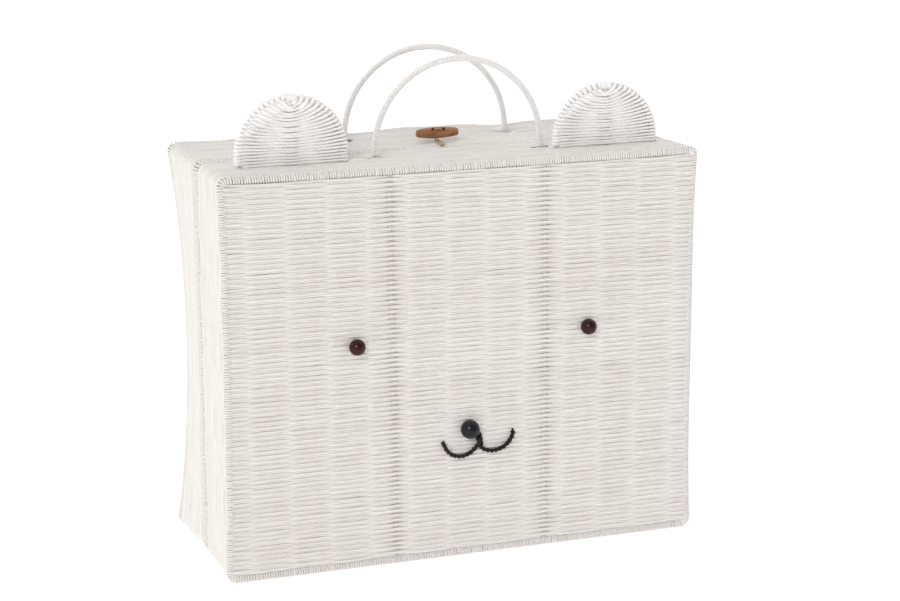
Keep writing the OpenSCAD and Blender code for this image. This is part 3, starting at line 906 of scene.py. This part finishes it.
def makeBead(node, name, material):
    # A ball with a flat back that rests on the weave, and a moulded rim round that back
    low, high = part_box(node)
    radius = (high.x - low.x) / 2
    centre = Vector(((low.x + high.x) / 2, low.y + radius, (low.z + high.z) / 2))
    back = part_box("front_face_weave")[0].y - beadShape["standOff"]
    shaped = bmesh.new()
    bmesh.ops.create_uvsphere(shaped, u_segments=64, v_segments=40, radius=radius)
    bmesh.ops.rotate(shaped, verts=shaped.verts, matrix=Matrix.Rotation(math.pi / 2, 3, "X"))
    bmesh.ops.translate(shaped, verts=shaped.verts, vec=centre)
    cut = bmesh.ops.bisect_plane(shaped, geom=shaped.verts[:] + shaped.edges[:] + shaped.faces[:],
                                 plane_co=(0, back, 0), plane_no=(0, 1, 0), clear_outer=True)
    rim = [e for e in cut["geom_cut"] if isinstance(e, bmesh.types.BMEdge)]
    bmesh.ops.contextual_create(shaped, geom=rim)
    rim = [e for e in shaped.edges if all(abs(v.co.y - back) < 1e-6 for v in e.verts)]
    bmesh.ops.bevel(shaped, geom=rim, offset=beadShape["rimRound"], offset_type="OFFSET", segments=3,
                    affect="EDGES", profile=0.5, material=-1)
    for face in shaped.faces:
        face.smooth = len(face.verts) < 20
    mesh = finishMesh(shaped, bpy.data.meshes.new(name))
    addPiece(name, mesh, material, "front_shell", [node])


makeBead("left_eye", "leftEye", eyeFinish)
makeBead("right_eye", "rightEye", eyeFinish)
makeBead("nose", "nose", noseFinish)


def twist(path, plies, pitch, reach, start=0.0):
    # Plies that turn round a path
    path = np.asarray(path, float)
    steps = np.linalg.norm(np.diff(path, axis=0), axis=1)
    run = np.concatenate([[0], np.cumsum(steps)])
    count = max(8, int(run[-1] / pitch * 12))
    at = np.linspace(0, run[-1], count)
    spots = np.stack([np.interp(at, run, path[:, k]) for k in range(3)], axis=1)
    heading = np.gradient(spots, axis=0)
    heading /= np.linalg.norm(heading, axis=1)[:, None]
    side = np.cross(heading[0], (0.31, 0.9, 0.24))
    sides = []
    for direction in heading:
        side = side - direction * (side @ direction)
        side /= np.linalg.norm(side)
        sides.append(side)
    sides = np.array(sides)
    others = np.cross(heading, sides)
    lines = []
    for ply in range(plies):
        angle = start + 2 * np.pi * (at / pitch + ply / plies)
        lines.append(spots + reach * (np.cos(angle)[:, None] * sides + np.sin(angle)[:, None] * others))
    return lines


def rounded(points, times=3):
    # Cuts the corners of an open path
    points = np.asarray(points, float)
    for _ in range(times):
        quarter = 0.75 * points[:-1] + 0.25 * points[1:]
        late = 0.25 * points[:-1] + 0.75 * points[1:]
        points = np.vstack([points[:1], np.stack([quarter, late], axis=1).reshape(-1, 3), points[-1:]])
    return points


blackYarn = strandMaterial("blackYarn", {
    "colours": [(0.2, (0.008, 0.006, 0.006)), (0.8, (0.050, 0.036, 0.032))],
    "ownShare": 0.2,
    "patchShare": 0.3,
    "streakLength": 400.0,
    "patchSize": 300.0,
    "grainSize": 2600.0,
    "roughness": (0.75, 0.95),
    "bump": 0.9,
    "gloss": 0.2,
})
mouth = {
    "yarn": 2.35 * mm,          # radius of the twisted yarn
    "pitch": 9.0 * mm,
    "leftArc": (-7.5, 125.5, 19, 190, 353),      # centre, radius and angles, in millimetres
    "rightArc": (27.5, 131, 22, 232, 350),
    "rightStart": ((12, 130), (14.6, 118)),
    "rises": (1.2, 2.8, 3.4),   # of the left stroke's end, which lies over the right stroke
    "seat": 4,                  # how far the ends go back into the weave
    "plyShare": 0.52,
}


def makeMouth(values):
    y = (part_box("mouth_left")[0].y + values["yarn"]) / mm
    for side, node in (("left", "mouth_left"), ("right", "mouth_right")):
        cx, cz, radius, start, stop = values[f"{side}Arc"]
        angles = np.radians(np.linspace(start, stop, 14))
        points = [(cx + radius * math.cos(a), y, cz + radius * math.sin(a)) for a in angles]
        if side == "right":
            points = [(x, y, z) for x, z in values["rightStart"]] + points
        else:
            points[-3:] = [(x, y - rise, z) for (x, y, z), rise in zip(points[-3:], values["rises"])]
        first, last = points[0], points[-1]
        seat = y + values["seat"]
        points = [(first[0], seat, first[2])] + points + [(last[0], seat, last[2])]
        path = rounded(np.array(points) * mm, 2)
        ply = values["yarn"] * values["plyShare"]
        lines = twist(path, 2, values["pitch"], values["yarn"] - ply, start=0.4)
        addStrands(f"{side}Mouth", lines, ply, blackYarn, "front_shell", node, "black_yarn", sides=10)


makeMouth(mouth)
print("face is made")


# Closure

def woodMaterial():
    material, nodes, links, shader = startMaterial("toggleWood")
    where = nodes.new("ShaderNodeTexCoord")
    stretch = nodes.new("ShaderNodeMapping")
    stretch.inputs["Scale"].default_value = (60, 420, 420)
    noise = addNode(nodes, "ShaderNodeTexNoise")
    noise.inputs["Scale"].default_value = 1.0
    noise.inputs["Detail"].default_value = 5
    noise.inputs["Distortion"].default_value = 0.6
    stops = [(0.25, (0.14, 0.055, 0.022)), (0.5, (0.30, 0.125, 0.052)), (0.75, (0.46, 0.21, 0.095))]
    links.new(where.outputs["Object"], stretch.inputs["Vector"])
    links.new(stretch.outputs[0], noise.inputs["Vector"])
    tint(nodes, links, noise.outputs["Fac"], shader, stops)
    roughen(nodes, links, noise.outputs["Fac"], shader, 0.32, 0.55)
    relieve(nodes, links, noise.outputs["Fac"], shader, 0.25, 0.2 * mm)
    return material


toggleWood = woodMaterial()
cordLook = {
    "ownShare": 0.2,
    "patchShare": 0.3,
    "streakLength": 500.0,
    "patchSize": 300.0,
    "grainSize": 3000.0,
    "roughness": (0.6, 0.85),
    "bump": 0.7,
    "gloss": 0.25,
}
closureCord = strandMaterial("closureCord", {
    **cordLook,
    "colours": [(0.2, (0.36, 0.23, 0.12)), (0.8, (0.62, 0.46, 0.31))],
})
toggleThread = strandMaterial("toggleThread", {
    **cordLook,
    "colours": [(0.2, (0.34, 0.20, 0.11)), (0.8, (0.62, 0.44, 0.29))],
})
toggleSizes = {
    "endRadius": 3.8 * mm,
    "endRound": 1.1 * mm,
    "holeApart": 11 * mm,
    "holeRadius": 2.1 * mm,
    "lean": 42.0,               # degrees that the holes lean to the front
    "thread": 0.75 * mm,
    "threadPitch": 3.2 * mm,
    "plyShare": 0.55,
    "holeEntry": 2 * mm,        # how far inside a hole the thread straightens
    "knotReach": 1.9 * mm,
    "knotHeight": 2.2 * mm,     # above the thread's lowest point
}


def makeToggle(values):
    low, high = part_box("toggle")
    centre = (low + high) / 2
    half, radius = (high.x - low.x) / 2, (high.z - low.z) / 2
    rise = radius - values["endRadius"]
    arc = (half ** 2 + rise ** 2) / (2 * rise)
    shaped = bmesh.new()
    outline = [shaped.verts.new((-half, 0, 0))]
    for k in range(-12, 13):
        u = k * half / 12
        outline.append(shaped.verts.new((u, 0, math.sqrt(arc ** 2 - u ** 2) - arc + radius)))
    outline.append(shaped.verts.new((half, 0, 0)))
    for pair in zip(outline[:-1], outline[1:]):
        shaped.edges.new(pair)
    bmesh.ops.bevel(shaped, geom=[outline[1], outline[-2]], offset=values["endRound"], segments=4,
                    affect="VERTICES", profile=0.5, material=-1)
    bmesh.ops.spin(shaped, geom=shaped.verts[:] + shaped.edges[:], cent=(0, 0, 0), axis=(1, 0, 0),
                   dvec=(0, 0, 0), angle=2 * math.pi, steps=48, use_merge=True, use_duplicate=False)
    bmesh.ops.remove_doubles(shaped, verts=shaped.verts, dist=1e-7)
    bmesh.ops.recalc_face_normals(shaped, faces=shaped.faces)
    bmesh.ops.translate(shaped, verts=shaped.verts, vec=centre)
    mesh = finishMesh(shaped, bpy.data.meshes.new("toggle"))
    drill = bmesh.new()
    for hand in (-1, 1):
        made = bmesh.ops.create_cone(drill, cap_ends=True, segments=32, radius1=values["holeRadius"],
                                     radius2=values["holeRadius"], depth=4 * radius)
        bmesh.ops.rotate(drill, verts=made["verts"],
                         matrix=Matrix.Rotation(math.radians(values["lean"]), 3, "X"))
        spot = centre + Vector((hand * values["holeApart"] / 2, 0, 0))
        bmesh.ops.translate(drill, verts=made["verts"], vec=spot)
    drillPiece = bpy.data.objects.new("drill", finishMesh(drill, bpy.data.meshes.new("drill")))
    scene.collection.objects.link(drillPiece)
    blank = bpy.data.objects.new("blank", mesh)
    scene.collection.objects.link(blank)
    cut = blank.modifiers.new("holes", "BOOLEAN")
    cut.object = drillPiece
    cut.operation = "DIFFERENCE"
    cut.solver = "EXACT"
    bpy.context.view_layer.update()
    final = bpy.data.meshes.new_from_object(blank.evaluated_get(bpy.context.evaluated_depsgraph_get()))
    bpy.data.objects.remove(blank)
    bpy.data.objects.remove(drillPiece)
    smoothByAngle(final, 40)
    addPiece("toggle", final, toggleWood, "toggle", ["toggle"])
    return centre, radius


def makeThread(centre, radius, values):
    # The thread comes up one hole, lies over the toggle, goes down the other and into the wall
    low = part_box("toggle_thread")[0]
    half = values["holeApart"] / 2 - values["holeRadius"] + values["thread"]
    over = radius + values["thread"] * 0.9
    lean = Matrix.Rotation(math.radians(values["lean"]), 3, "X")
    inner = over - values["holeEntry"]
    held = [(-half * 0.6, -over), (-half, -inner), (-half, inner), (-half * 0.7, over),
            (half * 0.7, over), (half, inner), (half, -inner), (half * 0.6, -over)]
    points = [centre + lean @ Vector((x, 0, z)) for x, z in held]
    shank = [Vector((centre.x, centre.y, z)) for z in (low.z + 3 * mm, centre.z - over - 2.5 * mm)]
    aside = Vector((0.8 * mm, 0, 0))
    points = [*shank, *points, shank[1] + aside, shank[0] + aside]
    path = rounded([tuple(point) for point in points], 3)
    ply = values["thread"] * values["plyShare"]
    lines = twist(path, 2, values["threadPitch"], values["thread"] - ply)
    knot = (centre.x, centre.y, low.z + values["knotHeight"])
    lines += knotLines(knot, values["knotReach"], ply)
    addStrands("toggleThread", lines, ply, toggleThread, "toggle", "toggle_thread", "thread", sides=8)


def knotLines(centre, reach, thick):
    # A small round knot: three turns that cross one another
    lines = []
    angles = np.linspace(0, 2 * np.pi, 25)[:-1]
    for tilt, turn in ((0.4, 0.0), (1.2, 1.1), (-0.6, 2.2)):
        rise = np.sin(angles)
        ring = np.stack([np.cos(angles), rise * math.cos(tilt), rise * math.sin(tilt)], axis=1)
        c, s = math.cos(turn), math.sin(turn)
        ring = ring @ np.array([[c, s, 0], [-s, c, 0], [0, 0, 1]])
        ring *= reach - thick
        lines.append(np.vstack([ring, ring[:2]]) + np.array(centre))
    return lines


closingLoop = {
    "ply": 0.5 * mm,
    "twist": 0.42 * mm,         # how far each ply lies from the cord's middle
    "pitch": 3.4 * mm,
    "turn": 2.5 * mm,           # radius of the bend round the shank
    "height": 0.9 * mm,         # above the loop's lowest point
    "knotReach": 2.4 * mm,
    "knotStrand": 0.9 * mm,
    "knotDepth": 2.2 * mm,
    "tail": 0.85 * mm,
}


def makeLoop(values):
    # The closing loop goes from its knot on the front rim round the toggle's shank and back
    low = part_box("closure_loop")[0]
    knotLow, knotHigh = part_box("closure_knot")
    toggleLow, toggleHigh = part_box("toggle")
    shank = (toggleLow + toggleHigh) / 2
    knot = (knotLow + knotHigh) / 2
    knot.z = knotHigh.z - values["knotDepth"]
    height = low.z + values["height"]
    seam = rods["seam"]
    turn = values["turn"]
    points = [tuple(knot), (knot.x + 0.5 * mm, seam + 4 * mm, height + 0.6 * mm)]
    points += [(shank.x - 3.6 * mm, shank.y - 8 * mm, height)]
    for angle in np.radians((200, 160, 120, 80, 40, 0, -20)):
        points.append((shank.x + turn * math.cos(angle), shank.y + turn * math.sin(angle), height))
    points += [(shank.x + 2.9 * mm, shank.y - 8 * mm, height)]
    points += [(knot.x + 4.6 * mm, seam + 4 * mm, height + 0.5 * mm), tuple(knot)]
    path = rounded(points, 3)
    lines = twist(path, 2, values["pitch"], values["twist"])
    addStrands("closureLoop", lines, values["ply"], closureCord, "front_shell", "closure_loop",
               "closure_cord", sides=8)
    lines = knotLines(knot, values["knotReach"], values["knotStrand"])
    lines.append(np.array([tuple(knot), (knot.x, knot.y, knotLow.z)]))
    addStrands("closureKnot", lines, values["tail"], closureCord, "front_shell", "closure_knot",
               "closure_cord", sides=8)


toggleCentre, toggleRadius = makeToggle(toggleSizes)
makeThread(toggleCentre, toggleRadius, toggleSizes)
makeLoop(closingLoop)
print("closure is made")


# Hinge ties

def makeTies(values):
    radius = rods["rodR"] + values["strand"] + values["clear"]
    rim = rods["rim"]
    angles = np.radians(np.linspace(-90, 90, 12))
    ring = [(rim + radius * math.cos(a), radius * math.sin(a)) for a in angles]
    ring += [(-y, -z) for y, z in ring]
    lines = []
    for x in values["places"]:
        for turn in (-1, 0, 1):
            at = x + turn * 2 * values["strand"]
            lines.append([(at, rods["seam"] + y, rods["low"] + z) for y, z in ring])
    mesh = makeStrands("hingeTies", lines, values["strand"], sides=8, closed=True)
    piece = addPiece("hingeTies", mesh, paintedCane, None)
    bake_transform(piece)
    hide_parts("hinge_ties")


makeTies(ties)


# Pieces of the frame that stay as they are

def finishFrame():
    for side in ("front", "back"):
        for part in ("core", "pegs"):
            smoothCopy(f"{side}_handle_{part}", f"{side}Handle{part.title()}", paintedRod,
                       f"{side}_handle" if part == "core" else f"{side}_shell")
    material, nodes, links, shader = startMaterial("washerPlastic")
    patch = useGroup(nodes, mottle, patchSize=120.0, grainSize=900.0)
    stops = [(0.3, (0.62, 0.62, 0.62)), (0.7, (0.75, 0.75, 0.74))]
    tint(nodes, links, patch.outputs["patches"], shader, stops)
    shader.inputs["Roughness"].default_value = 0.4
    smoothCopy("bead_washers", "beadWashers", material, "front_shell")


finishFrame()
print("hidden pieces are finished")


# Floor and light

studio = {
    "sky": 1.0,
    "behindCamera": 0.42,                # the room is dimmer on the camera's side
    "roomEdge": (-0.5, -0.1),
    "softbox": 5.5,
    "softboxPlace": (-0.50, -0.72, 0.48),
    "softboxEdge": (0.960, 0.970),
    "floor": 0.94,
    "floorGlow": 0.3,
}


def makeStudio(values):
    world = bpy.data.worlds.new("studio")
    world.use_nodes = True
    nodes, links = world.node_tree.nodes, world.node_tree.links
    nodes["Background"].inputs["Color"].default_value = (1, 1, 1, 1)
    where = nodes.new("ShaderNodeTexCoord")
    parts = nodes.new("ShaderNodeSeparateXYZ")
    room = nodes.new("ShaderNodeMapRange")
    toward = addNode(nodes, "ShaderNodeVectorMath", operation="DOT_PRODUCT")
    box = nodes.new("ShaderNodeMapRange")
    both = addNode(nodes, "ShaderNodeMath", operation="ADD")
    toward.inputs[1].default_value = Vector(values["softboxPlace"]).normalized()
    for node, start, stop, low, high in (
            (room, *values["roomEdge"], values["behindCamera"], values["sky"]),
            (box, *values["softboxEdge"], 0, values["softbox"])):
        node.inputs["From Min"].default_value = start
        node.inputs["From Max"].default_value = stop
        node.inputs["To Min"].default_value = low
        node.inputs["To Max"].default_value = high
    links.new(where.outputs["Generated"], parts.inputs[0])
    links.new(where.outputs["Generated"], toward.inputs[0])
    links.new(parts.outputs["Y"], room.inputs["Value"])
    links.new(toward.outputs["Value"], box.inputs["Value"])
    links.new(room.outputs[0], both.inputs[0])
    links.new(box.outputs[0], both.inputs[1])
    links.new(both.outputs[0], nodes["Background"].inputs["Strength"])
    scene.world = world
    shaped = bmesh.new()
    bmesh.ops.create_grid(shaped, x_segments=1, y_segments=1, size=30)
    mesh = finishMesh(shaped, bpy.data.meshes.new("floor"))
    floor = bpy.data.objects.new("floor", mesh)
    scene.collection.objects.link(floor)
    material, _, _, shader = startMaterial("paleFloor")
    shader.inputs["Base Color"].default_value = (values["floor"], values["floor"], values["floor"], 1)
    shader.inputs["Roughness"].default_value = 0.9
    shader.inputs["Emission Color"].default_value = (1, 1, 1, 1)
    shader.inputs["Emission Strength"].default_value = values["floorGlow"]
    mesh.materials.append(material)
    scene.view_settings.view_transform = "Standard"


makeStudio(studio)
print("studio is lit")

total = sum(count for name, count in pieceCount)
print("triangles", total, sorted(pieceCount, key=lambda item: -item[1])[:6])
